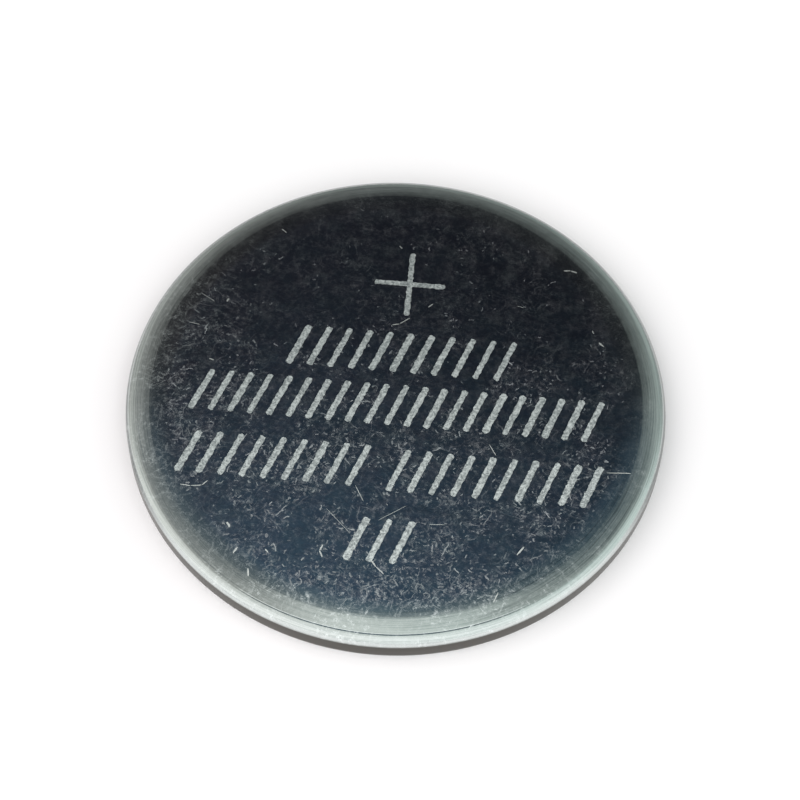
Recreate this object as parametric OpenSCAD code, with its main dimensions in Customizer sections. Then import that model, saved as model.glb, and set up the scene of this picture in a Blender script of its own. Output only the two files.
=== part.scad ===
// Thin round coin cell, drawn at its real size and closed as it leaves the press.
// The positive can is the upper shell. Its open edge is rolled in over a J-shaped seal that
// holds the skirt of the cap below, and the electrode stack is clamped between the two.
// Section paths are centre lines of sheet metal, given as [radius, height, bend radius].

/* [Cell] */
// Diameter over the wall of the can
cell_d = 20; // [18:0.5:24]
// Height from the flat of the cap to the face of the can
cell_h = 1.6; // [1.5:0.05:2.5]
// Clearance between the seal and the metal that it seats on
seal_fit = 0.01; // [0.005:0.005:0.02]

/* [Positive can] */
// Sheet thickness of the can
can_t = 0.2; // [0.16:0.01:0.24]
// Outside radius of the drawn corner round the face
corner_r = 0.39; // [0.32:0.01:0.5]
// Width of the soft shoulder between the flat of the face and the corner
shoulder_w = 1.3; // [1:0.05:1.5]
// Angle that the shoulder has fallen to where the corner starts
shoulder_fall = 13; // [9:1:16]
// Width of the straight land between the shoulder and the corner
shoulder_land = 0.03; // [0.01:0.01:0.1]
// Outside radius of the rolled edge
crimp_r = 0.45; // [0.38:0.01:0.5]
// How far the lip of the rolled edge reaches in from the wall
lip_reach = 1.05; // [0.9:0.05:1.2]
// Angle at which the lip bites up towards the ledge of the cap
lip_bite = 6; // [2:1:7]
// Height of the rolled edge above the flat of the cap
crimp_rise = 0.1; // [0.06:0.01:0.14]

/* [Negative cap] */
// Sheet thickness of the cap
cap_t = 0.2; // [0.16:0.01:0.24]
// Slope of the step between the flat of the cap and its ledge
step_slope = 60; // [50:5:70]
// Outside radius of both bends of the step
step_bend_r = 0.38; // [0.3:0.02:0.44]
// Width of the open groove between the seal and the step
groove_w = 0.16; // [0.1:0.02:0.25]
// Outside radius of the bend from the ledge into the skirt
skirt_bend_r = 0.26; // [0.25:0.01:0.32]
// Gap between the skirt and the wall of the can, which the seal fills
skirt_gap = 0.4; // [0.3:0.02:0.5]

/* [Sealing gasket] */
// Thickness of the seal between the root of the lip and the ledge
seal_t = 0.14; // [0.12:0.01:0.2]
// Width of the seal that shows inside the lip
seal_show = 0.27; // [0.2:0.01:0.35]
// How far the showing seal hangs below the root of the lip
seal_hang = 0.14; // [0.08:0.02:0.18]
// Thickness of the foot of the seal, between the edge of the skirt and the face
foot_t = 0.3; // [0.25:0.01:0.36]
// Thickness of the short leg of the seal, inside the skirt
leg_t = 0.3; // [0.2:0.05:0.4]
// Clearance between the short leg and the bend of the skirt
leg_gap = 0.04; // [0.03:0.01:0.08]
// Rounding on the free edges of the seal
seal_round = 0.05; // [0.02:0.01:0.06]

/* [Electrode stack] */
// Thickness of the lithium disc
anode_t = 0.25; // [0.2:0.01:0.3]
// Gap round the lithium disc, inside the pan of the cap
anode_gap = 0.3; // [0.15:0.05:0.5]
// Thickness of the separator
separator_t = 0.12; // [0.08:0.01:0.16]
// Gap between the separator and the foot of the step
separator_gap = 0.1; // [0.05:0.05:0.2]
// Overlap of the separator past the cathode pellet
separator_overlap = 0.2; // [0.1:0.05:0.3]
// Chamfer on the edges of the pressed cathode pellet
cathode_chamfer = 0.08; // [0.04:0.01:0.12]
// Thickness of the expanded metal collector
collector_t = 0.08; // [0.05:0.01:0.12]
// Distance between the diamond openings of the collector, across their long axis
mesh_pitch = 1.4; // [1.1:0.1:2]
// Width of the strands between the openings
mesh_strand = 0.3; // [0.2:0.01:0.4]
// Width of the solid rim round the openings
mesh_rim = 0.5; // [0.3:0.1:0.8]

/* [Hidden] */
$fn = 128;

STEEL = [0.74, 0.76, 0.77];
CAP_STEEL = [0.70, 0.71, 0.71];
SEAL = [0.86, 0.87, 0.84];
MESH_STEEL = [0.55, 0.56, 0.57];
MANGANESE = [0.13, 0.13, 0.14];
PAPER = [0.92, 0.92, 0.90];
LITHIUM = [0.78, 0.78, 0.76];

// Most that the short flats of a bend may stray from its true arc
BEND_SAG = 0.0015;

// Centre lines of the two sheets
cell_r = cell_d / 2;
wall_r = cell_r - can_t / 2;
face_z = cell_h - can_t / 2;
corner_bend = corner_r - can_t / 2;
crimp_bend = crimp_r - can_t / 2;
step_bend = step_bend_r - cap_t / 2;

// The shoulder is one soft bend, centred on the point where its two tangents meet
shoulder_half = tan(shoulder_fall / 2);
shoulder_bend = shoulder_w / sin(shoulder_fall);
corner_start_r = wall_r - corner_bend * (1 - sin(shoulder_fall));
shoulder_r = corner_start_r - shoulder_land - shoulder_w + shoulder_bend * shoulder_half;
corner_z = face_z - (wall_r - shoulder_r) * tan(shoulder_fall);

// The rolled edge turns past level, so that the lip bites towards the ledge
crimp_turn = 90 + lip_bite;
crimp_vertex_z = crimp_rise + crimp_r - crimp_bend * tan(crimp_turn / 2);
lip_r = cell_r - lip_reach;

// The ledge of the cap lies one seal thickness above the root of the lip, and its skirt
// stands in the seal, one foot thickness short of the face
skirt_bend = skirt_bend_r - cap_t / 2;
lip_top_z = crimp_rise + can_t;
ledge_z = lip_top_z + seal_t + cap_t / 2;
skirt_r = cell_r - can_t - skirt_gap - cap_t / 2;
skirt_top_z = cell_h - can_t - foot_t;

// The seal shows between the edge of the lip and the groove round the step
tip_r = lip_r - can_t / 2 * sin(lip_bite) - seal_fit;
nose_r = lip_r - seal_show;
nose_z = lip_top_z - seal_hang;
leg_r = skirt_r - cap_t / 2 - seal_fit - leg_t;
leg_z = ledge_z + skirt_bend + leg_gap;

// The step rises from the flat of the cap to its ledge
step_top_r = nose_r - groove_w;
step_foot_r = step_top_r - (ledge_z - cap_t / 2) / tan(step_slope);

// Heights and radii of the electrode stack, from the cap up to the face
anode_z = cap_t;
separator_z = anode_z + anode_t;
cathode_z = separator_z + separator_t;
collector_z = cell_h - can_t - collector_t;
cathode_t = collector_z - cathode_z;
anode_r = step_foot_r - anode_gap;
separator_r = step_foot_r - separator_gap;
cathode_r = separator_r - separator_overlap;
collector_r = cathode_r;

// Centre line of the can, from the axis over the shoulder and the wall to the lip
can_path = [
    [0, face_z, 0],
    [shoulder_r, face_z, shoulder_bend],
    [wall_r, corner_z, corner_bend],
    [wall_r, crimp_vertex_z, crimp_bend],
    [lip_r, lip_height(lip_r), 0]
];

// Centre line of the cap, from the axis over the step and the ledge to the skirt's edge
cap_path = [
    [0, cap_t / 2, 0],
    [step_foot_r, cap_t / 2, step_bend],
    [step_top_r, ledge_z, step_bend],
    [skirt_r, ledge_z, skirt_bend],
    [skirt_r, skirt_top_z, 0]
];

// Height of the lip's centre line at radius r
function lip_height(r) = crimp_vertex_z + (wall_r - r) * tan(lip_bite);

function point(v) = [v.x, v.y];
function unit(v) = v / norm(v);
function left_of(v) = [-v.y, v.x];
function turned(v, a) = [v.x * cos(a) - v.y * sin(a), v.x * sin(a) + v.y * cos(a)];
function reversed(list) = [for (i = [len(list) - 1:-1:0]) list[i]];

// Flats that a bend of radius r takes to turn through angle a
function bend_steps(r, a) = ceil(a * PI / 180 * sqrt(r / (8 * BEND_SAG)));

// Points of the bend at vertex b of the path a, b, c, moved to the left of the path by shift
function bend(a, b, c, shift) =
    let (
        along = unit(point(b) - point(a)),
        away = unit(point(c) - point(b)),
        side = sign(cross(along, away)),
        turn = acos(along * away),
        start = point(b) - along * b[2] * tan(turn / 2),
        centre = start + side * b[2] * left_of(along),
        arm = (centre - start) * (side * shift / b[2] - 1),
        steps = bend_steps(b[2], turn)
    )
    [for (i = [0:steps]) centre + turned(arm, side * turn * i / steps)];

// The path with its bends drawn, moved to its left by shift
function side_of(path, shift) =
    let (last = len(path) - 1)
    concat(
        [point(path[0]) + shift * left_of(unit(point(path[1]) - point(path[0])))],
        [for (i = [1:last - 1]) each bend(path[i - 1], path[i], path[i + 1], shift)],
        [point(path[last]) + shift * left_of(unit(point(path[last]) - point(path[last - 1])))]
    );

// Outline of a sheet of thickness t along a centre line
function sheet(path, t) = concat(side_of(path, t / 2), reversed(side_of(path, -t / 2)));

// The drawn shell whose flat face is the positive contact
module positive_can() {
    color(STEEL) rotate_extrude() polygon(sheet(can_path, can_t));
}

// The stepped pan whose flat is the negative contact
module negative_cap() {
    color(CAP_STEEL) rotate_extrude() polygon(sheet(cap_path, cap_t));
}

// Room inside the can, less the fit, with the nose of the seal below its lip
module room_in_can() {
    inside = side_of([
        can_path[0], can_path[1], can_path[2], can_path[3], [tip_r, lip_height(tip_r), 0]
    ], -can_t / 2 - seal_fit);
    nose = side_of([
        [tip_r, lip_height(tip_r), 0],
        [tip_r, nose_z, seal_round],
        [nose_r, nose_z, seal_round],
        [nose_r, ledge_z, 0]
    ], 0);
    polygon(concat(inside, nose, [[0, ledge_z]]));
}

// Room that the cap and the electrode stack take up, with the fit and the seal's short leg
module room_for_cap() {
    outside = side_of(cap_path, -cap_t / 2 - seal_fit);
    edge_z = skirt_top_z + seal_fit;
    leg = side_of([
        [leg_r + leg_t, edge_z, 0],
        [leg_r + leg_t, leg_z, seal_round],
        [leg_r, leg_z, seal_round],
        [leg_r, cell_h, 0]
    ], 0);
    polygon(concat(outside, [[skirt_r + cap_t / 2 + seal_fit, edge_z]], leg, [[0, cell_h]]));
}

// The seal fills what the closed can and the skirt of the cap leave between them
module sealing_gasket() {
    color(SEAL) rotate_extrude() difference() {
        room_in_can();
        room_for_cap();
    }
}

// Diamond opening of the expanded metal, twice as long as it is wide
module diamond(long, wide) {
    polygon([[-long / 2, 0], [0, -wide / 2], [long / 2, 0], [0, wide / 2]]);
}

// Expanded metal disc that carries the current from the pellet to the can
module current_collector() {
    row = mesh_pitch / 2;
    opening = mesh_pitch - mesh_strand;
    room = collector_r - mesh_rim - opening;
    columns = floor(room / mesh_pitch / 2);
    rows = floor(room / row);
    color(MESH_STEEL) translate([0, 0, collector_z]) linear_extrude(collector_t) difference() {
        circle(collector_r);
        for (j = [-rows:rows], i = [-columns - 1:columns]) {
            x = (2 * i + abs(j) % 2) * mesh_pitch;
            y = j * row;
            if (norm([x, y]) < room) translate([x, y]) diamond(2 * opening, opening);
        }
    }
}

// Pressed manganese dioxide pellet, chamfered at both edges
module cathode_pellet() {
    color(MANGANESE) translate([0, 0, cathode_z]) rotate_extrude() polygon([
        [0, 0],
        [cathode_r - cathode_chamfer, 0],
        [cathode_r, cathode_chamfer],
        [cathode_r, cathode_t - cathode_chamfer],
        [cathode_r - cathode_chamfer, cathode_t],
        [0, cathode_t]
    ]);
}

// Nonwoven disc that keeps the two electrodes apart
module separator() {
    color(PAPER) translate([0, 0, separator_z]) cylinder(h = separator_t, r = separator_r);
}

// Lithium disc pressed into the pan of the cap
module lithium_anode() {
    color(LITHIUM) translate([0, 0, anode_z]) cylinder(h = anode_t, r = anode_r);
}

positive_can();
negative_cap();
sealing_gasket();
current_collector();
cathode_pellet();
separator();
lithium_anode();
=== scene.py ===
"""Looks of a thin round coin cell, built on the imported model.

The can, the cap and the seal are lathed again from the same section as the solids, with
finer steps. The face of the can also gets its engraved marks and its nicks as real relief.
Lengths in the tables are millimetres, and MM turns them into the metres of the frame.
"""
import math
import random

import bpy
from mathutils import Matrix, Vector
from mathutils.geometry import delaunay_2d_cdt


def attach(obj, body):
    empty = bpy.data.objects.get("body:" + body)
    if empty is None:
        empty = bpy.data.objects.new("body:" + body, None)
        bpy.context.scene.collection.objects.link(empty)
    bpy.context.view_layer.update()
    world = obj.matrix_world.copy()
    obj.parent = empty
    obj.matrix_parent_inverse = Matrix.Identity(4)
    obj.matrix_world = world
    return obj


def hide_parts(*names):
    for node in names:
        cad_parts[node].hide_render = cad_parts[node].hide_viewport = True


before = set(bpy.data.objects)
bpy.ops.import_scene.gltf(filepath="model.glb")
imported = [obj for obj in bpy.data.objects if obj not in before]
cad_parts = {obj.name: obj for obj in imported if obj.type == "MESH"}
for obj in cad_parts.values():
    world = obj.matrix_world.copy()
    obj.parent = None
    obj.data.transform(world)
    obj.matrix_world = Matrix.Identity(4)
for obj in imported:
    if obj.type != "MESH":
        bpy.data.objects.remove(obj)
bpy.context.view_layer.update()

MM = 0.001

# Section of the cell, as in the solids
CELL_R = 10.0
CELL_H = 1.6
SHEET = 0.2
SEAL_FIT = 0.01
CORNER_R = 0.39
SHOULDER_W = 1.3
SHOULDER_FALL = math.radians(13)
SHOULDER_LAND = 0.03
CRIMP_R = 0.45
LIP_REACH = 1.05
LIP_BITE = math.radians(6)
CRIMP_RISE = 0.1
STEP_SLOPE = math.radians(60)
STEP_BEND_R = 0.38
GROOVE_W = 0.16
SKIRT_BEND_R = 0.26
SKIRT_GAP = 0.4
SEAL_T = 0.14
SEAL_SHOW = 0.27
SEAL_HANG = 0.14
FOOT_T = 0.3
LEG_T = 0.3
LEG_GAP = 0.04
SEAL_ROUND = 0.05

# Fineness of the lathed pieces
SEGMENTS = 288
BEND_STEP = math.radians(6)
FEWEST_BEND_STEPS = 4
EDGE_ROUND = 0.02
SHARP_TURN = math.radians(9)
ON_AXIS = 1e-9

# Centre lines of the two sheets
WALL_R = CELL_R - SHEET / 2
FACE_Z = CELL_H - SHEET / 2
CORNER_BEND = CORNER_R - SHEET / 2
CRIMP_BEND = CRIMP_R - SHEET / 2
STEP_BEND = STEP_BEND_R - SHEET / 2
SKIRT_BEND = SKIRT_BEND_R - SHEET / 2
SHOULDER_BEND = SHOULDER_W / math.sin(SHOULDER_FALL)
CORNER_START_R = WALL_R - CORNER_BEND * (1 - math.sin(SHOULDER_FALL))
SHOULDER_R = CORNER_START_R - SHOULDER_LAND - SHOULDER_W + SHOULDER_BEND * math.tan(SHOULDER_FALL / 2)
CORNER_Z = FACE_Z - (WALL_R - SHOULDER_R) * math.tan(SHOULDER_FALL)
CRIMP_VERTEX_Z = CRIMP_RISE + CRIMP_R - CRIMP_BEND * math.tan((math.pi / 2 + LIP_BITE) / 2)
LIP_R = CELL_R - LIP_REACH
LIP_TOP_Z = CRIMP_RISE + SHEET
LEDGE_Z = LIP_TOP_Z + SEAL_T + SHEET / 2
SKIRT_R = CELL_R - SHEET - SKIRT_GAP - SHEET / 2
SKIRT_TOP_Z = CELL_H - SHEET - FOOT_T
NOSE_R = LIP_R - SEAL_SHOW
NOSE_Z = LIP_TOP_Z - SEAL_HANG
TIP_R = LIP_R - SHEET / 2 * math.sin(LIP_BITE) - SEAL_FIT
LEG_R = SKIRT_R - SHEET / 2 - SEAL_FIT - LEG_T
LEG_Z = LEDGE_Z + SKIRT_BEND + LEG_GAP
STEP_TOP_R = NOSE_R - GROOVE_W
STEP_FOOT_R = STEP_TOP_R - (LEDGE_Z - SHEET / 2) / math.tan(STEP_SLOPE)

# The flat of the face ends where the outer skin of the shoulder begins to fall
FLAT_R = SHOULDER_R - SHOULDER_BEND * math.tan(SHOULDER_FALL / 2)
SKIN_BEND = SHOULDER_BEND + SHEET / 2

# Marks on the face: the plus sign of the pole, and bands of plain slanted strokes
MARKS_TURN = math.radians(-4)
MARK_DEPTH = 0.012
MARK_SEED = 11
# Width of a stroke, how much it varies, and the share of it that the blunt ends reach
STROKE_W = 0.235
STROKE_SPREAD = (0.9, 1.08)
STROKE_CAP = 0.3
# How far the edge of a mark strays, and about how long its steps are
STROKE_ROUGH = 0.02
STROKE_STEP = 0.09
# Middle of the plus sign, its width and height, and the width of its bars
PLUS_AT = (0.07, 4.92)
PLUS_SIZE = (2.71, 2.85)
PLUS_W = 0.21
# Height of a band, and the pitch and the lean of its strokes
BAND_H = 1.74
STROKE_PITCH = 0.74
STROKE_LEAN = math.radians(20)
# Left end, right end and middle height of each band
BANDS = [
    (-4.25, 4.35, 1.82),
    (-7.6, 7.72, -0.47),
    (-7.72, -0.66, -3.12),
    (-0.06, 7.8, -3.2),
    (-1.3, 1.2, -6.1),
]

# Nicks that stand out on the face: the share of its length that each end of one tapers over,
# and the share of its width that its edge strays by
NICK_DEPTH = 0.004
NICK_SEED = 5
NICK_TAPER = 0.3
NICK_ROUGH = 0.18
# X and Y of both ends of each nick, read in the photograph, and its width
NICKS = [
    (-7.5, 4.29, -6.94, 3.9, 0.022),
    (-6.51, 3.91, -6.42, 4.05, 0.06),
    (-4.58, 7.34, -4.39, 7.16, 0.035),
    (-0.02, 6.68, 0.1, 6.54, 0.035),
    (6.29, 5.7, 6.55, 5.72, 0.05),
    (6.55, 5.72, 6.8, 5.63, 0.06),
    (7.55, 2.47, 7.74, 2.3, 0.055),
    (7.32, 3.0, 7.36, 2.87, 0.035),
    (1.12, 3.87, 1.31, 4.04, 0.035),
    (-7.86, 2.95, -7.44, 2.85, 0.022),
    (-7.0, 1.35, -6.81, 1.29, 0.035),
    (4.49, 4.04, 4.75, 3.96, 0.02),
    (-0.22, 3.04, 0.06, 3.1, 0.032),
    (0.06, 3.1, 0.45, 3.38, 0.035),
    (3.42, -2.02, 3.68, -2.51, 0.022),
    (7.66, -3.11, 8.6, -3.08, 0.032),
    (1.28, -5.39, 1.85, -5.39, 0.018),
    (4.41, -6.52, 4.66, -6.19, 0.045),
    (3.52, -8.49, 3.75, -7.98, 0.035),
    (-7.69, -4.0, -7.3, -4.06, 0.035),
    (-7.3, -4.06, -6.9, -4.02, 0.035),
    (-6.9, -4.02, -6.7, -3.82, 0.03),
    (-5.92, -5.49, -5.79, -5.69, 0.08),
    (-5.62, -6.72, -5.47, -6.48, 0.05),
    (-4.5, -6.53, -4.37, -6.68, 0.05),
    (-6.2, -7.01, -5.32, -7.5, 0.014),
    (-5.07, -7.29, -5.01, -7.72, 0.055),
    (-5.01, -7.72, -5.06, -8.19, 0.06),
    (-2.47, -6.31, -2.57, -6.55, 0.05),
    (-2.57, -6.55, -2.47, -6.79, 0.05),
    (-2.41, -4.83, -1.52, -5.81, 0.014),
    (-1.4, -3.86, -1.06, -4.55, 0.022),
    (-0.54, -5.28, 0.49, -4.64, 0.016),
    (-0.82, -6.74, -0.56, -7.13, 0.045),
    (-0.56, -7.13, -0.27, -7.41, 0.04),
]

# Shallow line that the draw leaves between the shoulder and the corner, deepest at one side
CREASE_W = 0.05
CREASE_EDGE = 0.015
CREASE_DEPTH = 0.008
CREASE_AT = math.radians(268)
CREASE_SPREAD = math.radians(32)

# Radius inside which the face carries its relief, and the rings that follow its fall there
RELIEF_R = 9.1
RELIEF_RINGS = 10
# The triangulation keeps what lies inside its loops. Points nearer than this count as one
INSIDE_LOOPS = 1
SAME_POINT = 1e-6
# Material of the can at each depth of the relief
DEPTH_MATERIAL = {0.0: 0, NICK_DEPTH: 1, MARK_DEPTH: 2}


def unit(v):
    """The vector at length one."""
    size = math.hypot(*v)
    return (v[0] / size, v[1] / size)


def bend(a, b, c, shift):
    """Points of the bend at vertex b of the path a, b, c, moved to the path's left by shift."""
    along = unit((b[0] - a[0], b[1] - a[1]))
    away = unit((c[0] - b[0], c[1] - b[1]))
    side = 1 if along[0] * away[1] - along[1] * away[0] > 0 else -1
    turn = math.acos(along[0] * away[0] + along[1] * away[1])
    radius = b[2]
    reach = radius * math.tan(turn / 2)
    start = (b[0] - along[0] * reach, b[1] - along[1] * reach)
    left = (-along[1], along[0])
    centre = (start[0] + side * radius * left[0], start[1] + side * radius * left[1])
    arm = (side * left[0] * (side * shift - radius), side * left[1] * (side * shift - radius))
    steps = max(FEWEST_BEND_STEPS, math.ceil(turn / BEND_STEP))
    found = []
    for i in range(steps + 1):
        angle = side * turn * i / steps
        found.append((
            centre[0] + arm[0] * math.cos(angle) - arm[1] * math.sin(angle),
            centre[1] + arm[0] * math.sin(angle) + arm[1] * math.cos(angle),
        ))
    return found


def side_of(path, shift):
    """The path with its bends drawn, moved to its left by shift."""
    first = unit((path[1][0] - path[0][0], path[1][1] - path[0][1]))
    last = unit((path[-1][0] - path[-2][0], path[-1][1] - path[-2][1]))
    points = [(path[0][0] - shift * first[1], path[0][1] + shift * first[0])]
    for a, b, c in zip(path, path[1:], path[2:]):
        points += bend(a, b, c, shift) if b[2] else [(b[0], b[1])]
    points.append((path[-1][0] - shift * last[1], path[-1][1] + shift * last[0]))
    return points


def sheet(path):
    """Outline of the sheet along a centre line, its cut edge broken by a small round."""
    outer = side_of(path, SHEET / 2)
    inner = side_of(path, -SHEET / 2)[::-1]
    corners = [outer[-2], outer[-1], inner[0], inner[1]]
    first = bend(corners[0], (*corners[1], EDGE_ROUND), corners[2], 0)
    second = bend(corners[1], (*corners[2], EDGE_ROUND), corners[3], 0)
    return outer[:-1] + first + second + inner[1:]


def lip_height(r):
    """Height of the lip's centre line at radius r."""
    return CRIMP_VERTEX_Z + (WALL_R - r) * math.tan(LIP_BITE)


CAN_PATH = [
    (0, FACE_Z, 0),
    (SHOULDER_R, FACE_Z, SHOULDER_BEND),
    (WALL_R, CORNER_Z, CORNER_BEND),
    (WALL_R, CRIMP_VERTEX_Z, CRIMP_BEND),
    (LIP_R, lip_height(LIP_R), 0),
]
CAP_PATH = [
    (0, SHEET / 2, 0),
    (STEP_FOOT_R, SHEET / 2, STEP_BEND),
    (STEP_TOP_R, LEDGE_Z, STEP_BEND),
    (SKIRT_R, LEDGE_Z, SKIRT_BEND),
    (SKIRT_R, SKIRT_TOP_Z, 0),
]


def skin_height(r):
    """Height of the outer skin of the face, out to the end of the shoulder's bend."""
    over = max(0.0, r - FLAT_R)
    return CELL_H - SKIN_BEND + math.sqrt(SKIN_BEND ** 2 - over ** 2)


def skin_normal(x, y):
    """Normal of that skin."""
    r = math.hypot(x, y)
    fall = max(0.0, r - FLAT_R) / SKIN_BEND
    if fall == 0:
        return (0.0, 0.0, 1.0)
    return (x / r * fall, y / r * fall, math.sqrt(1 - fall ** 2))


def placed(name, data):
    """A new object of the scene that holds the data."""
    thing = bpy.data.objects.new(name, data)
    bpy.context.scene.collection.objects.link(thing)
    return thing


class Shell:
    """Vertices and faces in millimetres, with a normal for each face corner."""

    def __init__(self):
        self.points = []
        self.faces = []
        self.normals = []
        self.materials = []

    def point(self, x, y, z):
        """Adds a vertex and gives its index."""
        self.points.append((x * MM, y * MM, z * MM))
        return len(self.points) - 1

    def face(self, corners, normals, material=0):
        """Adds a face with the normal of each of its corners."""
        self.faces.append(corners)
        self.normals += normals
        self.materials.append(material)

    def made(self, name, materials):
        """The shell as an object that rides on the cell."""
        mesh = bpy.data.meshes.new(name)
        mesh.from_pydata(self.points, [], self.faces)
        for finish in materials:
            mesh.materials.append(finish)
        mesh.polygons.foreach_set("material_index", self.materials)
        mesh.polygons.foreach_set("use_smooth", [True] * len(self.faces))
        mesh.normals_split_custom_set(self.normals)
        mesh.update()
        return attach(placed(name, mesh), "root")


def ring_angle(i):
    """Angle of lathe segment i."""
    return 2 * math.pi * i / SEGMENTS


def about_axis(r, z, i):
    """A point or a normal of the section, turned to lathe segment i."""
    return (r * math.cos(ring_angle(i)), r * math.sin(ring_angle(i)), z)


def edge_normals(outline, closed):
    """Outward normals at both ends of each step of an outline that runs clockwise round its metal."""
    steps = list(zip(outline, outline[1:] + outline[:1])) if closed else list(zip(outline, outline[1:]))
    flat = [unit((-(b[1] - a[1]), b[0] - a[0])) for a, b in steps]
    count = len(flat)
    found = []
    for i, own in enumerate(flat):
        ends = []
        for other in (i - 1, i + 1):
            inside = closed or 0 <= other < count
            near = flat[other % count] if inside else own
            turn = math.acos(max(-1, min(1, own[0] * near[0] + own[1] * near[1])))
            ends.append(unit((own[0] + near[0], own[1] + near[1])) if turn < SHARP_TURN else own)
        found.append(ends)
    return found


def lathe(shell, outline, closed=False, first_ring=None):
    """Turns an outline round the axis, its outward side on the left. Returns the ring of each point."""
    normals = edge_normals(outline, closed)
    rings = []
    for k, (r, z) in enumerate(outline):
        if k == 0 and first_ring:
            rings.append(first_ring)
        elif r < ON_AXIS:
            rings.append([shell.point(0, 0, z)] * SEGMENTS)
        else:
            rings.append([shell.point(*about_axis(r, z, i)) for i in range(SEGMENTS)])
    if closed:
        rings.append(rings[0])
    for k, (a, b) in enumerate(zip(rings, rings[1:])):
        for i in range(SEGMENTS):
            j = (i + 1) % SEGMENTS
            corners = [a[i], b[i], b[j], a[j]]
            which = [(0, i), (1, i), (1, j), (0, j)]
            if a[i] == a[j]:
                corners, which = corners[:3], [(0, i), (1, i), (1, j)]
            elif b[i] == b[j]:
                corners, which = [a[i], b[i], a[j]], [(0, i), (1, i), (0, j)]
            shell.face(corners, [about_axis(*normals[k][end], at) for end, at in which])
    return rings


def turned(point, angle):
    """A point of the face turned about the axis."""
    return (
        point[0] * math.cos(angle) - point[1] * math.sin(angle),
        point[0] * math.sin(angle) + point[1] * math.cos(angle),
    )


def bar(ends, width, cap, rough, rng):
    """Outline of a stroke between two ends, anticlockwise: caps of a given reach, an uneven edge."""
    x0, y0, x1, y1 = ends
    along = unit((x1 - x0, y1 - y0))
    left = (-along[1], along[0])
    length = math.hypot(x1 - x0, y1 - y0) - 2 * cap
    half = width / 2
    cap_steps = 6
    side_steps = max(2, int(length / STROKE_STEP))
    local = [(length * i / side_steps, -half) for i in range(1, side_steps)]
    for i in range(cap_steps + 1):
        a = math.pi * (i / cap_steps - 0.5)
        local.append((length + cap * math.cos(a), half * math.sin(a)))
    local += [(length * (1 - i / side_steps), half) for i in range(1, side_steps)]
    for i in range(cap_steps + 1):
        a = math.pi * (i / cap_steps + 0.5)
        local.append((cap * math.cos(a), half * math.sin(a)))
    found = []
    for u, v in local:
        u += cap + rng.uniform(-rough, rough)
        v += rng.uniform(-rough, rough)
        found.append((x0 + along[0] * u + left[0] * v, y0 + along[1] * u + left[1] * v))
    return found


def plus_outline(rng):
    """Outline of the plus sign, one closed loop."""
    wide, tall = PLUS_SIZE[0] / 2, PLUS_SIZE[1] / 2
    half = PLUS_W / 2
    inset = half / 2
    arms = [
        (half, -half), (wide - inset, -half), (wide, -inset), (wide, inset), (wide - inset, half),
        (half, half), (half, tall - inset), (inset, tall), (-inset, tall), (-half, tall - inset),
        (-half, half), (-wide + inset, half), (-wide, inset), (-wide, -inset), (-wide + inset, -half),
        (-half, -half), (-half, -tall + inset), (-inset, -tall), (inset, -tall), (half, -tall + inset),
    ]
    found = []
    for a, b in zip(arms, arms[1:] + arms[:1]):
        steps = max(1, int(math.hypot(b[0] - a[0], b[1] - a[1]) / STROKE_STEP))
        for i in range(steps):
            u = a[0] + (b[0] - a[0]) * i / steps + rng.uniform(-STROKE_ROUGH, STROKE_ROUGH)
            v = a[1] + (b[1] - a[1]) * i / steps + rng.uniform(-STROKE_ROUGH, STROKE_ROUGH)
            found.append((u + PLUS_AT[0], v + PLUS_AT[1]))
    return found


def mark_outlines():
    """Outlines of the plus sign and of every stroke, on the face."""
    rng = random.Random(MARK_SEED)
    found = [plus_outline(rng)]
    lean = BAND_H / 2 * math.tan(STROKE_LEAN)
    for start, end, middle in BANDS:
        reach = end - start - 2 * lean - STROKE_W
        gaps = round(reach / STROKE_PITCH)
        for i in range(gaps + 1):
            u = start + lean + STROKE_W / 2 + reach / gaps * i
            ends = (u - lean, middle - BAND_H / 2, u + lean, middle + BAND_H / 2)
            width = STROKE_W * rng.uniform(*STROKE_SPREAD)
            found.append(bar(ends, width, width * STROKE_CAP, STROKE_ROUGH, rng))
    return [[turned(p, MARKS_TURN) for p in outline] for outline in found]


def nick_outlines():
    """Outlines of the nicks that stand out, each a narrow sliver."""
    rng = random.Random(NICK_SEED)
    found = []
    for *ends, width in NICKS:
        length = math.hypot(ends[2] - ends[0], ends[3] - ends[1])
        found.append(bar(ends, width, length * NICK_TAPER, width * NICK_ROUGH, rng))
    return found


def relief_plan():
    """Points, edges and loops that the relief is triangulated from, and the depth of each loop."""
    coords = []

    def loop(points):
        first = len(coords)
        coords.extend(Vector(p) for p in points)
        return list(range(first, len(coords)))

    def circle(r):
        return loop([about_axis(r, 0, i)[:2] for i in range(SEGMENTS)])

    loops = [circle(RELIEF_R)]
    depths = [0.0]
    edges = []
    for k in range(RELIEF_RINGS):
        inner = circle(FLAT_R + (RELIEF_R - FLAT_R) * k / RELIEF_RINGS)
        edges += zip(inner, inner[1:] + inner[:1])
    for outlines, depth in ((mark_outlines(), MARK_DEPTH), (nick_outlines(), NICK_DEPTH)):
        for outline in outlines:
            loops.append(loop(outline))
            depths.append(depth)
    return coords, edges, loops, depths


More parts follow.
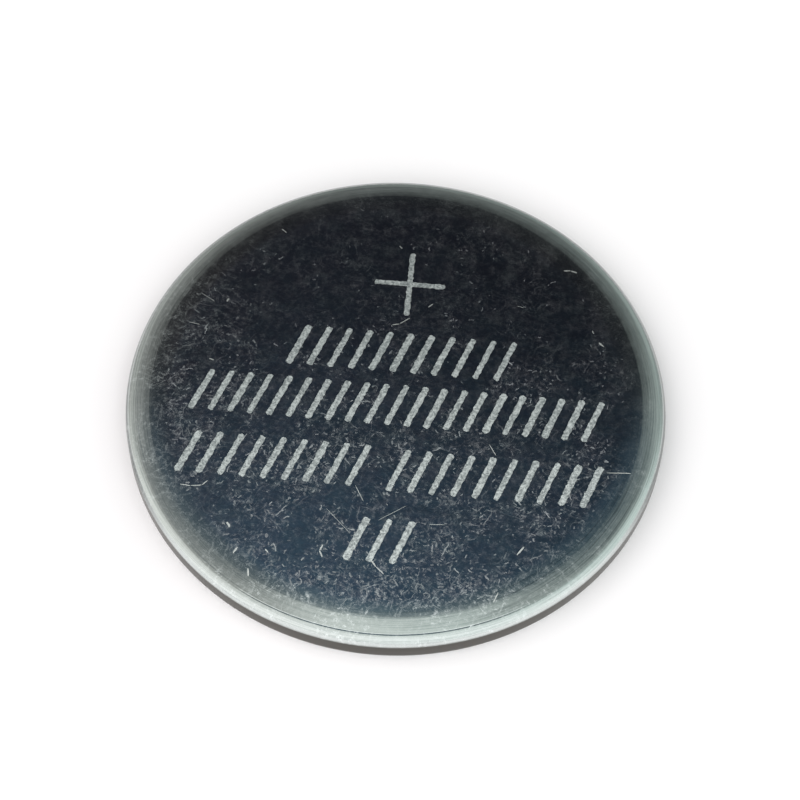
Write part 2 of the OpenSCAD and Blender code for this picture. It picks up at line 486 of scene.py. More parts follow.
def relief(shell):
    """The inner part of the face with its marks and nicks cut in. Returns the ring round it."""
    coords, edges, loops, depths = relief_plan()
    plan = delaunay_2d_cdt(coords, edges, loops, INSIDE_LOOPS, SAME_POINT)
    points, _, cells, origins, _, owners = plan
    made = {}
    level = {}

    def corner(v, depth):
        if (v, depth) not in made:
            x, y = points[v]
            made[v, depth] = shell.point(x, y, skin_height(math.hypot(x, y)) - depth)
        return made[v, depth]

    for cell, owner in zip(cells, owners):
        depth = max(depths[f] for f in owner)
        corners = [corner(v, depth) for v in cell]
        shell.face(corners, [skin_normal(*points[v]) for v in cell], DEPTH_MATERIAL[depth])
        for a, b in zip(cell, cell[1:] + cell[:1]):
            level[a, b] = depth
    for (a, b), depth in level.items():
        other = level.get((b, a), depth)
        if other < depth:
            side = unit((points[a][1] - points[b][1], points[b][0] - points[a][0]))
            corners = [corner(b, depth), corner(a, depth), corner(a, other), corner(b, other)]
            shell.face(corners, [(*side, 0.0)] * 4, DEPTH_MATERIAL[depth])
    place = {o: v for v, source in enumerate(origins) for o in source}
    return [corner(place[i], 0.0) for i in loops[0]]


class Nodes:
    """Short calls that add shader nodes and wire them."""

    def __init__(self, tree):
        self.tree = tree
        self.tree.nodes.clear()

    def add(self, kind, inputs=None, **settings):
        """A node with its settings, and its inputs wired by name or by number."""
        node = self.tree.nodes.new(kind)
        for key, value in settings.items():
            setattr(node, key, value)
        for key, value in (inputs or {}).items():
            self.wire(value, node.inputs[key])
        return node

    def wire(self, value, socket):
        """Links a socket to an input, or sets the input to a constant."""
        if isinstance(value, bpy.types.NodeSocket):
            self.tree.links.new(value, socket)
        elif value is not None:
            socket.default_value = value

    def math(self, operation, a, b=None, clamp=False):
        """The result of an operation on one or two numbers."""
        node = self.add("ShaderNodeMath", operation=operation, use_clamp=clamp)
        self.wire(a, node.inputs[0])
        self.wire(b, node.inputs[1])
        return node.outputs[0]

    def chain(self, operation, values):
        """One operation over all the values, from the first to the last."""
        result = values[0]
        for value in values[1:]:
            result = self.math(operation, result, value)
        return result

    def plus(self, *values):
        return self.chain("ADD", values)

    def times(self, *values):
        return self.chain("MULTIPLY", values)

    def most(self, *values):
        return self.chain("MAXIMUM", values)

    def minus(self, a, b):
        return self.math("SUBTRACT", a, b)

    def power(self, base, exponent):
        return self.math("POWER", base, exponent)

    def below(self, value, limit):
        return self.math("LESS_THAN", value, limit)

    def size(self, value):
        return self.math("ABSOLUTE", value)

    def vector(self, operation, a, b=None):
        """The result of an operation on a vector and a vector or a number."""
        node = self.add("ShaderNodeVectorMath", operation=operation)
        self.wire(a, node.inputs[0])
        if operation == "SCALE":
            self.wire(b, node.inputs["Scale"])
        else:
            self.wire(b, node.inputs[1])
        return node.outputs["Value" if operation == "LENGTH" else "Vector"]

    def rotated(self, vector, angle):
        """The vector turned about the axis of the cell."""
        node = self.add("ShaderNodeVectorRotate", {"Vector": vector, "Angle": angle}, rotation_type="Z_AXIS")
        return node.outputs[0]

    def ramp(self, value, low, high, to_low=0.0, to_high=1.0, smooth=True):
        """The value carried from one range to another, and held at its ends."""
        node = self.add("ShaderNodeMapRange", interpolation_type="SMOOTHSTEP" if smooth else "LINEAR")
        for socket, item in zip(node.inputs, (value, low, high, to_low, to_high)):
            self.wire(item, socket)
        return node.outputs[0]

    def between(self, value, rise, fall):
        """One from the end of the rise to the start of the fall, and zero outside both."""
        return self.times(self.ramp(value, *rise), self.ramp(value, *fall))

    def mix(self, share, a, b):
        """A number between a and b."""
        return self.add("ShaderNodeMix", {0: share, 2: a, 3: b}, data_type="FLOAT").outputs[0]

    def blend(self, share, a, b, kind="MIX"):
        """A colour between a and b."""
        node = self.add("ShaderNodeMix", {0: share, 6: a, 7: b}, data_type="RGBA", blend_type=kind)
        return node.outputs[2]

    def tinted(self, colour, tint):
        """The colour times a tint or a number."""
        return self.blend(1.0, colour, tint, "MULTIPLY")

    def noise(self, vector, scale, detail=3.0, rough=0.55, out="Fac"):
        """Noise at a place, from zero to one."""
        node = self.add("ShaderNodeTexNoise", {
            "Vector": vector, "Scale": scale, "Detail": detail, "Roughness": rough,
        })
        return node.outputs[out]

    def strands(self, vector, stretch, detail=3.0, rough=0.55):
        """Noise drawn out to lines by its scale along each axis."""
        return self.noise(self.vector("MULTIPLY", vector, stretch), 1.0, detail, rough)

    def place(self):
        """Position on the piece, in millimetres."""
        coordinates = self.add("ShaderNodeTexCoord").outputs["Object"]
        return self.vector("SCALE", coordinates, 1 / MM)

    def parts(self, vector):
        """The three numbers of a vector."""
        return self.add("ShaderNodeSeparateXYZ", {0: vector}).outputs

    def joined(self, x, y, z=0.0):
        """A vector of three numbers."""
        return self.add("ShaderNodeCombineXYZ", {0: x, 1: y, 2: z}).outputs[0]

    def radius(self, place):
        """Distance from the axis of the cell."""
        x, y, _ = self.parts(place)
        return self.vector("LENGTH", self.joined(x, y))

    def around(self, place, across, along):
        """The place in turning coordinates, by a scale across the turned lines and one along them."""
        x, y, z = self.parts(place)
        angle = self.math("ARCTAN2", y, x)
        scaled = [self.times(self.radius(place), across), self.times(angle, along), self.times(z, across)]
        return self.joined(*scaled)

    def bumped(self, height, strength, distance):
        """Normal of a relief whose height is given in units of distance, in metres."""
        node = self.add("ShaderNodeBump", {"Strength": strength, "Distance": distance, "Height": height})
        return node.outputs[0]

    def finish(self, **inputs):
        """The surface shader, its inputs named with underscores for spaces."""
        named = {key.replace("_", " "): value for key, value in inputs.items()}
        shader = self.add("ShaderNodeBsdfPrincipled", named)
        self.add("ShaderNodeOutputMaterial", {"Surface": shader.outputs[0]})


def material(name):
    """A new material and its nodes."""
    made = bpy.data.materials.new(name)
    made.use_nodes = True
    return made, Nodes(made.node_tree)


def scattered_nicks(n, place, cell, length, width, share, seed):
    """Short curved nicks, at most one to a cell, each turned its own way."""
    moved = n.vector("ADD", place, (seed, seed * 0.7, 0.0))
    flat = n.vector("MULTIPLY", moved, (1.0, 1.0, 0.0))
    cells = n.add("ShaderNodeTexVoronoi", {"Vector": flat, "Scale": 1 / cell}, voronoi_dimensions="2D")
    spot = n.vector("SUBTRACT", flat, cells.outputs["Position"])
    chance = n.parts(cells.outputs["Color"])
    u, v, _ = n.parts(n.rotated(spot, n.times(chance[0], 2 * math.pi)))
    curve = n.times(u, u, n.minus(chance[2], 0.5))
    across = n.ramp(n.size(n.plus(v, curve)), width * 0.5, width * 0.15)
    along = n.ramp(n.size(u), length * 0.5, length * 0.25)
    bright = n.times(n.below(chance[1], share), n.mix(chance[2], 0.25, 1.0))
    return n.times(across, along, bright)


# Where the finish of the can changes: heights of its wall and radii of its rim
WALL_FOOT = (0.16, 0.3)
WALL_TOP = (1.18, 1.04)
RIM_START = (FLAT_R - 0.1, FLAT_R + 0.7)
CORNER_START = (CORNER_START_R - 0.05, CORNER_START_R + 0.1)
STAIN_START = (8.7, 9.0)
STAIN_END = (9.65, 9.5)
# Radii where the painted shade on the outside of the corner begins, at the far side and at the brink
RIM_SHADE_START = (9.76, 9.87)
BRINK_SHADE_START = (9.86, 9.94)

# Tones of the can
PLATE = (0.76, 0.775, 0.77, 1)
PLATE_DARK = (0.65, 0.65, 0.66, 1)
PATCH_WARM = (1.02, 0.985, 1.01, 1)
PATCH_COLD = (0.975, 1.01, 1.01, 1)
RIM = (0.75, 0.795, 0.78, 1)
RIM_STREAK = (0.56, 0.61, 0.6, 1)
# Painted shade for the outside of the corner, standing in for the dark surroundings it mirrors
PAINTED_RIM_SHADE = (0.05, 0.052, 0.05, 1)
STAIN = (0.2, 0.23, 0.24, 1)
# Painted shade on the wall: its dark tone stands in for the shadowed floor that the wall mirrors, while its
# streaks and roughness are its own
PAINTED_WALL_SHADE_DARK = (0.048, 0.0445, 0.037, 1)
PAINTED_WALL_SHADE_PALE = (0.085, 0.079, 0.067, 1)
SCUFF = (0.8, 0.84, 0.84, 1)

# Nicks in the plating, from long to short: size of a cell, length, width, share of the cells
# that hold one where the wear is full, start of the pattern, and brightness
NICK_LAYERS = [
    (3.4, 2.6, 0.035, 0.5, 17.3, 0.3),
    (1.5, 0.8, 0.055, 0.5, 3.1, 0.65),
    (0.62, 0.36, 0.07, 0.6, 7.7, 0.6),
    (0.3, 0.2, 0.07, 0.7, 12.9, 0.5),
    (0.17, 0.12, 0.07, 0.7, 31.7, 0.4),
]


def can_wear(n, place):
    """Wear of the face, most at the near side and the left: its share, clusters, patches and crowding."""
    x, y, _ = n.parts(place)
    low = n.ramp(n.plus(y, n.times(x, 0.3)), 4.0, -6.0)
    patches = n.ramp(n.noise(place, 0.45, 4.0), 0.38, 0.62)
    clusters = n.ramp(n.noise(place, 0.9, 4.0, 0.65), 0.42, 0.58)
    near = n.times(n.ramp(y, -5.8, -7.8), n.ramp(n.size(x), 7.0, 3.0))
    spread = n.times(patches, n.ramp(y, 7.0, -2.0, 0.12, 0.35))
    worn = n.math("ADD", n.times(low, 0.65), spread, clamp=True)
    crowd = n.most(n.times(worn, clusters), n.times(near, 0.8))
    return worn, clusters, patches, crowd


def can_nicks(n, place, crowd):
    """Nicks of every layer, a little bent, with painted shade that makes them fainter towards the far side.
    """
    jog = n.vector("SUBTRACT", n.noise(place, 2.4, 2.0, out="Color"), (0.5, 0.5, 0.5))
    bent = n.vector("ADD", place, n.vector("SCALE", jog, 0.35))
    layers = []
    for cell, length, width, share, seed, level in NICK_LAYERS:
        layer = scattered_nicks(n, bent, cell, length, width, n.times(crowd, share), seed)
        layers.append(n.times(layer, level))
    # Painted shade: the nicks fade towards the far side, as the light falls
    return n.times(n.most(*layers), n.ramp(n.parts(place)[1], 5.0, -5.0, 0.5, 1.0, smooth=False))


def can_hairs(n, place):
    """Fine hairlines that lie aslant, two ways."""
    warped = n.vector("ADD", place, n.vector("SCALE", n.noise(place, 0.7, 2.0, out="Color"), 1.6))
    slanted = n.rotated(warped, 0.5)
    return n.most(n.strands(slanted, (13.0, 1.2, 1.0)), n.strands(slanted, (1.6, 14.0, 1.0)))


def can_haze(n, place, hairs, worn, clusters, patches):
    """Haze of grains and hairlines, thick at the near edge of the flat, and a veil, thick at the far rim."""
    x, y, _ = n.parts(place)
    grain = n.noise(place, 5.5, 6.0, 0.8)
    dust = n.plus(n.ramp(grain, 0.49, 0.68), n.times(n.ramp(hairs, 0.56, 0.76), 0.7))
    bank = n.plus(n.times(n.ramp(y, -6.8, -8.3), 0.24), n.ramp(x, -5.0, -9.0, 0.0, 0.05))
    amount = n.times(n.plus(bank, n.mix(worn, 0.014, 0.15)), n.mix(clusters, 0.55, 1.25))
    veil = n.ramp(n.noise(place, 2.2, 6.0, 0.75), 0.45, 0.7, 0.0, 0.022)
    fringe = n.times(n.ramp(n.radius(place), 7.5, 8.9), n.ramp(y, -4.0, 2.0, 0.0, 0.01))
    fringe = n.times(fringe, n.ramp(patches, 0.0, 1.0, 0.6, 1.3))
    return n.plus(n.times(dust, amount), veil, fringe)


def plating_tone(n, place, rim, streaks):
    """Plating with darker and lighter, warmer and colder patches, and streaks on its rim."""
    dark = n.ramp(n.noise(place, 3.6, 6.0, 0.75), 0.62, 0.4)
    hue = n.ramp(n.noise(n.vector("ADD", place, (9.0, 4.0, 0.0)), 1.2, 4.0, 0.6), 0.4, 0.62)
    tone = n.blend(n.times(dark, 0.8), PLATE, PLATE_DARK)
    tone = n.tinted(tone, n.blend(hue, PATCH_WARM, PATCH_COLD))
    tone = n.blend(rim, tone, RIM)
    return n.blend(n.times(n.ramp(streaks, 0.42, 0.7), rim), tone, RIM_STREAK)


def painted_rim_shade(n, place):
    """Painted shade on the outside of the corner, heaviest at the far side: a dark tone that stands in for
    the dark surroundings the corner mirrors.
    """
    _, y, z = n.parts(place)
    r = n.radius(place)
    outside = n.times(n.ramp(r, *RIM_SHADE_START), n.ramp(y, -4.0, 9.0, 0.12, 0.85))
    brink = n.times(n.ramp(r, *BRINK_SHADE_START), n.ramp(y, -7.5, -3.0, 0.0, 0.75))
    return n.times(n.most(outside, brink), n.ramp(z, 0.6, 0.9))


def rim_stain(n, place, around):
    """Dark stain at the near right of the shoulder."""
    x, y, _ = n.parts(place)
    corner = n.times(n.ramp(x, 2.0, 5.0), n.ramp(y, -2.0, -5.0))
    blots = n.ramp(n.noise(around, 0.5, 3.0, 0.6), 0.48, 0.66, 0.0, 0.55)
    return n.times(n.between(n.radius(place), STAIN_START, STAIN_END), corner, blots)


def can_steel():
    """Bright nickel-plated steel, handled: haze, nicks, and turning streaks round the rim, with painted
    shade on the outside of the corner and on the wall.
    """
    made, n = material("nickel_plated_steel")
    place = n.place()
    around = n.around(place, 20.0, 2.5)
    streaks = n.noise(around, 1.0, 4.0, 0.65)
    rim = n.ramp(n.radius(place), *RIM_START)
    corner = n.ramp(n.radius(place), *CORNER_START)
    wall = n.between(n.parts(place)[2], WALL_FOOT, WALL_TOP)
    bare = n.minus(1.0, wall)
    worn, clusters, patches, crowd = can_wear(n, place)
    hairs = can_hairs(n, place)
    haze = n.times(can_haze(n, place, hairs, worn, clusters, patches), bare)
    marks = n.times(can_nicks(n, place, crowd), n.minus(1.0, n.times(rim, 0.8)), bare)
    turning = n.times(streaks, rim)

    rough = n.mix(n.noise(place, 1.6, 5.0, 0.65), 0.05, 0.14)
    rough = n.plus(rough, n.times(turning, 0.1), n.times(corner, 0.1))
    rough = n.mix(marks, n.mix(wall, rough, 0.3), 0.5)

    tone = plating_tone(n, place, rim, streaks)
    # Painted shade on the outside of the corner, heaviest at the far side
    tone = n.blend(painted_rim_shade(n, place), tone, PAINTED_RIM_SHADE)
    tone = n.blend(rim_stain(n, place, around), tone, STAIN)
    # Painted shade: the wall is made dark for the shadowed floor it mirrors, with real streaks through it
    tone = n.blend(wall, tone, n.blend(streaks, PAINTED_WALL_SHADE_DARK, PAINTED_WALL_SHADE_PALE))
    tone = n.blend(n.math("MAXIMUM", marks, n.times(haze, 2.0), clamp=True), tone, SCUFF)

    metal = n.minus(1.0, n.most(haze, n.times(marks, 0.6)))
    waves = n.plus(n.times(n.noise(place, 0.35, 2.0), 0.5), n.times(n.noise(place, 2.2, 4.0, 0.6), 0.12))
    scored = n.times(n.plus(n.times(marks, 0.02), n.times(hairs, 0.03)), bare)
    height = n.minus(n.plus(waves, n.times(turning, 0.05)), scored)
    n.finish(Base_Color=tone, Metallic=metal, Roughness=rough, Normal=n.bumped(height, 1.0, MM * 0.02))
    return made


def frosted_steel():
    """Floor of the engraved marks: pale, grainy, with no clear reflection."""
    made, n = material("engraved_steel")
    place = n.place()
    grain = n.noise(place, 11.0, 6.0, 0.8)
    pits = n.noise(place, 45.0, 3.0, 0.6)
    tone = n.blend(n.ramp(grain, 0.4, 0.6), (0.22, 0.245, 0.25, 1), (0.68, 0.72, 0.71, 1))
    # Painted light and shade: the marks are lighter at the near side and darker towards the far side
    tone = n.vector("SCALE", tone, n.ramp(n.parts(place)[1], 6.0, -7.5, 0.62, 1.1, smooth=False))
    height = n.plus(grain, n.times(pits, 0.4))
    n.finish(
        Base_Color=tone, Metallic=0.25, Roughness=n.mix(pits, 0.45, 0.75),
        Normal=n.bumped(height, 0.7, MM * 0.02),
    )
    return made


def nicked_steel():
    """Torn metal in the deeper nicks, bright and rough."""
    made, n = material("nicked_steel")
    place = n.place()
    grain = n.noise(place, 30.0, 4.0, 0.7)
    tone = n.blend(grain, (0.5, 0.52, 0.51, 1), (0.84, 0.86, 0.83, 1))
    # Painted shade: the nicks are darker towards the far side
    tone = n.vector("SCALE", tone, n.ramp(n.parts(place)[1], 5.0, -6.0, 0.5, 1.0, smooth=False))
    n.finish(
        Base_Color=tone, Metallic=0.4, Roughness=n.mix(grain, 0.4, 0.65),
        Normal=n.bumped(grain, 0.6, MM * 0.01),
    )
    return made


def cap_steel():
    """Satin steel pressing, its drawing lines round the step."""
    made, n = material("satin_steel")
    place = n.place()
    lines = n.noise(n.around(place, 16.0, 2.0), 1.0, 4.0, 0.6)
    rolled = n.strands(place, (1.2, 26.0, 1.0), 4.0, 0.6)
    edge = n.ramp(n.radius(place), STEP_FOOT_R - 1.2, STEP_FOOT_R)
    grain = n.mix(edge, rolled, lines)
    long_nicks = scattered_nicks(n, place, 1.6, 0.9, 0.03, 0.35, 21.3)
    short_nicks = scattered_nicks(n, place, 0.5, 0.22, 0.035, 0.25, 4.4)
    nicks = n.most(long_nicks, short_nicks)
    tone = n.blend(n.noise(place, 0.9, 4.0), (0.55, 0.545, 0.53, 1), (0.66, 0.655, 0.64, 1))
    tone = n.blend(nicks, tone, (0.8, 0.8, 0.78, 1))
    rough = n.plus(n.mix(grain, 0.2, 0.36), n.times(nicks, 0.2))
    height = n.minus(n.times(grain, 0.6), n.times(nicks, 0.5))
    n.finish(Base_Color=tone, Metallic=1.0, Roughness=rough, Normal=n.bumped(height, 0.5, MM * 0.004))
    return made


def seal_plastic():
    """Natural polypropylene, milky and a little uneven."""
    made, n = material("natural_polypropylene")
    place = n.place()
    cloud = n.noise(place, 1.1, 4.0)
    skin = n.noise(place, 12.0, 4.0, 0.6)
    tone = n.blend(cloud, (0.74, 0.75, 0.71, 1), (0.84, 0.85, 0.82, 1))
    n.finish(
        Base_Color=tone, Roughness=n.mix(skin, 0.34, 0.5), Subsurface_Weight=0.25,
        Subsurface_Radius=(0.4 * MM, 0.38 * MM, 0.34 * MM), Normal=n.bumped(skin, 0.35, MM * 0.004),
    )
    return made


def mesh_steel():
    """Expanded stainless steel, its strands slightly twisted and bright on the edges."""
    made, n = material("expanded_steel")
    drawn = n.strands(n.place(), (3.0, 24.0, 3.0), 4.0)
    tone = n.blend(drawn, (0.42, 0.42, 0.43, 1), (0.6, 0.6, 0.6, 1))
    n.finish(
        Base_Color=tone, Metallic=1.0, Roughness=n.mix(drawn, 0.3, 0.48),
        Normal=n.bumped(drawn, 0.6, MM * 0.006),
    )
    return made


def cathode_mix():
    """Pressed manganese dioxide with graphite: matt black, granular, with a few glints."""
    made, n = material("manganese_dioxide")
    place = n.place()
    grain = n.noise(place, 9.0, 6.0, 0.7)
    glint = n.ramp(n.noise(place, 26.0, 2.0), 0.68, 0.74)
    tone = n.blend(grain, (0.022, 0.022, 0.024, 1), (0.075, 0.075, 0.08, 1))
    tone = n.blend(glint, tone, (0.25, 0.25, 0.26, 1))
    n.finish(
        Base_Color=tone, Metallic=n.times(glint, 0.8), Roughness=n.mix(glint, 0.82, 0.35),
        Normal=n.bumped(grain, 0.9, MM * 0.02),
    )
    return made


def separator_felt():
    """Nonwoven of fine pale fibres that lie every way."""
    made, n = material("nonwoven_fibre")
    place = n.place()
    bent = n.vector("ADD", place, n.vector("SCALE", n.noise(place, 3.0, 2.0, out="Color"), 0.5))
    fibre = n.most(n.strands(bent, (5.0, 42.0, 5.0)), n.strands(bent, (40.0, 6.0, 6.0)))
    tone = n.blend(n.ramp(fibre, 0.45, 0.75), (0.68, 0.68, 0.66, 1), (0.92, 0.92, 0.9, 1))
    n.finish(Base_Color=tone, Roughness=0.85, Sheen_Weight=0.3, Normal=n.bumped(fibre, 0.9, MM * 0.03))
    return made


def lithium_metal():
    """Soft pale metal with a dull bloom and the faint grain of its rolling."""
    made, n = material("lithium")
    place = n.place()
    bloom = n.noise(place, 1.3, 5.0, 0.6)
    rolled = n.strands(place, (18.0, 1.5, 2.0), 4.0)
    tone = n.blend(n.ramp(bloom, 0.35, 0.7), (0.72, 0.72, 0.7, 1), (0.5, 0.5, 0.5, 1))
    n.finish(
        Base_Color=tone, Metallic=n.ramp(bloom, 0.4, 0.7, 0.95, 0.55), Roughness=n.mix(bloom, 0.32, 0.6),
        Normal=n.bumped(n.plus(rolled, bloom), 0.5, MM * 0.01),
    )
    return made


def dress(node, finish):
    """Gives a solid that stays as it is its finish."""
    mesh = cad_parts[node].data
    mesh.materials.clear()
    mesh.materials.append(finish)


def crease(shell, inner, start, bottom_r, end, outer):
    """The line between the ring at point start and the ring at point end, shallower round the sides."""
    skin = start[1] + (end[1] - start[1]) * (bottom_r - start[0]) / (end[0] - start[0])
    bottom = []
    tilts = []
    for i in range(SEGMENTS):
        share = max(0.0, 1 - (abs(ring_angle(i) - CREASE_AT) / CREASE_SPREAD) ** 2)
        z = skin - CREASE_DEPTH * math.sqrt(share)
        bottom.append(shell.point(*about_axis(bottom_r, z, i)))
        tilts.append((unit((start[1] - z, bottom_r - start[0])), unit((z - end[1], end[0] - bottom_r))))
    for i in range(SEGMENTS):
        j = (i + 1) % SEGMENTS
        for a, b, half in ((inner, bottom, 0), (bottom, outer, 1)):
            normals = [about_axis(*tilts[at][half], at) for at in (i, i, j, j)]
            shell.face([a[i], b[i], b[j], a[j]], normals)


def build_can():
    """The can: its face with the relief, the crease, and the rest of its section lathed."""
    shell = Shell()
    ring = relief(shell)
    outline = sheet(CAN_PATH)
    corner = next(k for k, p in enumerate(outline) if p[0] > CORNER_START_R)
    crease_r = outline[corner][0] - CREASE_W
    lip = (crease_r - CREASE_EDGE, skin_height(crease_r - CREASE_EDGE))
    shoulder = [p for p in outline[:corner] if RELIEF_R < p[0] < lip[0] - CREASE_EDGE]
    start = (RELIEF_R, skin_height(RELIEF_R))
    inner = lathe(shell, [start] + shoulder + [lip], first_ring=ring)[-1]
    outer = lathe(shell, outline[corner:])[0]
    crease(shell, inner, lip, crease_r, outline[corner], outer)
    piece = shell.made("can_shell", [can_steel(), nicked_steel(), frosted_steel()])
    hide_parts("positive_can")


def build_cap():
    """The cap, lathed from its section."""
    shell = Shell()
    lathe(shell, sheet(CAP_PATH))
    piece = shell.made("cap_pressing", [cap_steel()])
    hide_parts("negative_cap")


def seal_outline():
    """Outline of the seal: out under the face, round the wall and the lip, and back along the cap."""
    inside = side_of([*CAN_PATH[:4], (TIP_R, lip_height(TIP_R), 0)], -SHEET / 2 - SEAL_FIT)
    nose = side_of([
        (TIP_R, lip_height(TIP_R), 0),
        (TIP_R, NOSE_Z, SEAL_ROUND),
        (NOSE_R, NOSE_Z, SEAL_ROUND),
        (NOSE_R, LEDGE_Z, 0),
    ], 0)
    cap_side = side_of(CAP_PATH, -SHEET / 2 - SEAL_FIT)
    edge_z = SKIRT_TOP_Z + SEAL_FIT
    ledge_z = LEDGE_Z - SHEET / 2 - SEAL_FIT
    leg = side_of([
        (LEG_R + LEG_T, edge_z, 0),
        (LEG_R + LEG_T, LEG_Z, SEAL_ROUND),
        (LEG_R, LEG_Z, SEAL_ROUND),
        (LEG_R, CELL_H, 0),
    ], 0)
    under = FACE_Z - SHEET / 2 - SEAL_FIT
    outer = [(LEG_R, under)] + [p for p in inside if p[0] > LEG_R]
    around_nose = [p for p in nose[1:] if p[1] < ledge_z]
    along_cap = [p for p in cap_side if p[0] > NOSE_R + SAME_POINT]
    skirt = along_cap + [(SKIRT_R + SHEET / 2 + SEAL_FIT, edge_z)]
    inner_leg = [p for p in leg if p[1] < under]
    return outer + around_nose + [(NOSE_R, ledge_z)] + skirt + inner_leg


def build_seal():
    """The seal, lathed from its closed section."""
    shell = Shell()
    lathe(shell, seal_outline(), closed=True)
    piece = shell.made("seal_ring", [seal_plastic()])
    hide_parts("sealing_gasket")


# The photograph's view: a long lens, 59 degrees above the horizon, turned a little
CAMERA_AT = Vector((0, -41.111, 69.428)) * MM
CAMERA_ELEVATION = math.radians(59.08)
CAMERA_ROLL = math.radians(1.44)
FOCAL_PIXELS = 2149.1
IMAGE_SIDE = 800
TARGET_PIXEL = (395.94, 405.38)
SENSOR = 36.0
CAMERA_CLIP = (0.001, 50)


def build_camera():
    """The camera, with the roll of the photograph and the cell at its place in the picture."""
    right = Vector((1, 0, 0))
    back = Vector((0, -math.cos(CAMERA_ELEVATION), math.sin(CAMERA_ELEVATION)))
    up = back.cross(right)
    c, s = math.cos(CAMERA_ROLL), math.sin(CAMERA_ROLL)
    axes = Matrix((c * right + s * up, c * up - s * right, back))
    half = IMAGE_SIDE / 2
    sight = Vector(((TARGET_PIXEL[0] - half) / FOCAL_PIXELS, (half - TARGET_PIXEL[1]) / FOCAL_PIXELS, -1))
    swing = Vector((0, 0, -1)).rotation_difference(sight.normalized()).to_matrix()
    data = bpy.data.cameras.new("camera")
    data.sensor_width = SENSOR
    data.lens = SENSOR * FOCAL_PIXELS / IMAGE_SIDE
    data.clip_start, data.clip_end = CAMERA_CLIP
    camera = placed("camera", data)
    camera.matrix_world = Matrix.Translation(CAMERA_AT) @ (swing @ axes).transposed().to_4x4()
    bpy.context.scene.camera = camera


# Side of the floor, and how far it lies under the cell, in metres
FLOOR_SIDE = 8.0
FLOOR_GAP = 0.01 * MM


def build_floor():
    """A pale matt floor, just under the cell."""
    half = FLOOR_SIDE / 2
    corners = [(half * x, half * y, -FLOOR_GAP) for x, y in ((-1, -1), (1, -1), (1, 1), (-1, 1))]
    mesh = bpy.data.meshes.new("floor")
    mesh.from_pydata(corners, [], [(0, 1, 2, 3)])
    made, n = material("pale_floor")
    fine = n.noise(n.place(), 0.02, 3.0)
    tone = n.blend(fine, (0.975, 0.94, 0.955, 1), (0.99, 0.955, 0.97, 1))
    n.finish(Base_Color=tone, Roughness=0.9, Specular_IOR_Level=0.0)
    mesh.materials.append(made)
    placed("floor", mesh)


# The studio is pale, with one dark card beyond the cell, which the face mirrors.
# Directions are unit vectors, so that X and Y say where each one lies, seen from above.
WHITE = (1, 1, 1, 1)
# Middle of the card, how much it is drawn in aside, beyond and before its middle, and its soft edge
CARD_Y = 0.52
CARD_STRETCH = (0.99, 1.2, 1.2)
CARD_EDGE = (0.32, 0.48)
# Power of its outline, round at the far half and nearly square at the near half
CARD_POWER = (2.0, 4.0)
# Colour of the card against Y
CARD_LIMITS = (0.3, 0.62)
CARD_STOPS = [
    (0.3, (0.08, 0.125, 0.155)),
    (0.43, (0.042, 0.076, 0.113)),
    (0.5, (0.02, 0.031, 0.045)),
    (0.54, (0.012, 0.0152, 0.0215)),
    (0.62, (0.0085, 0.0092, 0.0132)),
]
# Its brightness at the left and the right, and its tint at the left, with the X where they change
CARD_SIDES = (1.35, 0.7)
CARD_SIDES_X = (-0.14, 0.14)
CARD_LEFT = (0.85, 0.7, 0.64, 1)
CARD_LEFT_X = (-0.03, -0.16)
# Brightness of the walls against Y, and their tint at the left and the right
WALL_STOPS = [
    (-1.0, 1.12), (-0.65, 1.17), (-0.35, 0.9), (-0.1, 0.74), (0.1, 0.72), (0.2, 0.68),
    (0.3, 0.6), (0.5, 0.4), (0.7, 0.41), (0.85, 0.31), (0.95, 0.24), (1.0, 0.2),
]
LEFT_TINT = (1.08, 1.08, 1.04, 1)
RIGHT_TINT = (0.86, 0.98, 0.945, 1)
TINT_X = (-0.6, 0.5)
# Share of that tint at the near side and from the middle on
TINT_SHARE = (0.35, 1.0)
TINT_Y = (-0.6, 0.0)
# Two dim curtains stand between the near wall and the card
CURTAIN_SHADE = 0.5
CURTAIN_X = ((0.1, 0.24), (0.56, 0.4))
CURTAIN_Y = ((-0.06, 0.06), (0.48, 0.36))
# The walls are brighter at their left and right ends
WINDOW_LIFT = 1.22
WINDOW_X = (0.7, 0.95)
WINDOW_Y = (0.35, 0.05)


def colour_ramp(n, value, limits, stops):
    """Colour ramp of a value between two limits."""
    ramp = n.add("ShaderNodeValToRGB", {"Fac": n.ramp(value, *limits, smooth=False)})
    elements = ramp.color_ramp.elements
    span = limits[1] - limits[0]
    elements[1].position = 1.0
    for at, _ in stops[1:-1]:
        elements.new((at - limits[0]) / span)
    for element, (_, colour) in zip(elements, stops):
        element.color = (*colour, 1)
    return ramp.outputs[0]


def card_colour(n, x, y):
    """Colour of the card, bluer towards the zenith and uneven from left to right."""
    card = colour_ramp(n, y, CARD_LIMITS, CARD_STOPS)
    card = n.tinted(card, n.ramp(x, *CARD_SIDES_X, *CARD_SIDES))
    return n.tinted(card, n.blend(n.ramp(x, *CARD_LEFT_X), WHITE, CARD_LEFT))


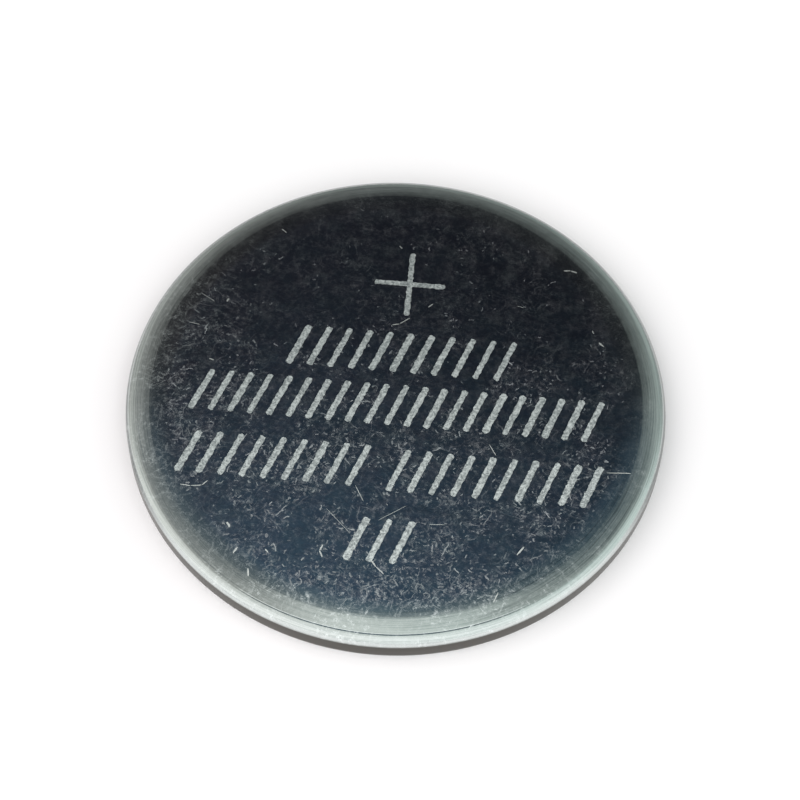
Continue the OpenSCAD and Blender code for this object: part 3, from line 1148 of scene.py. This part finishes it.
def wall_colour(n, x, y):
    """Colour of the walls, with the curtains and the bright ends."""
    walls = colour_ramp(n, y, (-1.0, 1.0), [(at, (level,) * 3) for at, level in WALL_STOPS])
    tint = n.blend(n.ramp(x, *TINT_X), LEFT_TINT, RIGHT_TINT)
    walls = n.tinted(walls, n.blend(n.ramp(y, *TINT_Y, *TINT_SHARE), WHITE, tint))
    curtain = n.times(n.between(n.size(x), *CURTAIN_X), n.between(y, *CURTAIN_Y))
    walls = n.vector("SCALE", walls, n.mix(curtain, 1.0, CURTAIN_SHADE))
    window = n.times(n.ramp(n.size(x), *WINDOW_X), n.ramp(y, *WINDOW_Y))
    return n.vector("SCALE", walls, n.mix(window, 1.0, WINDOW_LIFT))


def from_card(n, x, y):
    """How far a direction lies from the middle of the card."""
    off = n.minus(y, CARD_Y)
    off = n.most(n.times(off, CARD_STRETCH[1]), n.times(off, -CARD_STRETCH[2]))
    power = n.mix(n.below(y, CARD_Y), *CARD_POWER)
    across = n.power(n.times(n.size(x), CARD_STRETCH[0]), power)
    total = n.plus(across, n.power(off, power))
    return n.power(total, n.math("DIVIDE", 1.0, power))


def build_studio():
    """The world: the card and the walls, told apart by direction."""
    world = bpy.data.worlds.new("studio")
    world.use_nodes = True
    bpy.context.scene.world = world
    n = Nodes(world.node_tree)
    x, y, _ = n.parts(n.add("ShaderNodeTexCoord").outputs["Generated"])
    share = n.ramp(from_card(n, x, y), *CARD_EDGE)
    colour = n.blend(share, card_colour(n, x, y), wall_colour(n, x, y))
    light = n.add("ShaderNodeBackground", {"Color": colour, "Strength": 1.0})
    n.add("ShaderNodeOutputWorld", {"Surface": light.outputs[0]})


# The lamp is a square soft box, which isn't mirrored in the cell, placed and sized in metres
LAMP_AT = Vector((-0.15, -0.3, 0.8))
LAMP_SIDE = 1.4
LAMP_WATTS = 6.6


def build_lamp():
    """The soft box, which faces the cell."""
    data = bpy.data.lights.new("soft_box", "AREA")
    data.size = LAMP_SIDE
    data.energy = LAMP_WATTS
    light = placed("soft_box", data)
    light.location = LAMP_AT
    light.rotation_euler = (-LAMP_AT).to_track_quat("-Z", "Y").to_euler()
    light.visible_glossy = False


build_can()
build_cap()
build_seal()
dress("current_collector", mesh_steel())
dress("cathode_pellet", cathode_mix())
dress("separator", separator_felt())
dress("lithium_anode", lithium_metal())
build_floor()
build_studio()
build_lamp()
build_camera()
bpy.context.scene.view_settings.view_transform = "Standard"
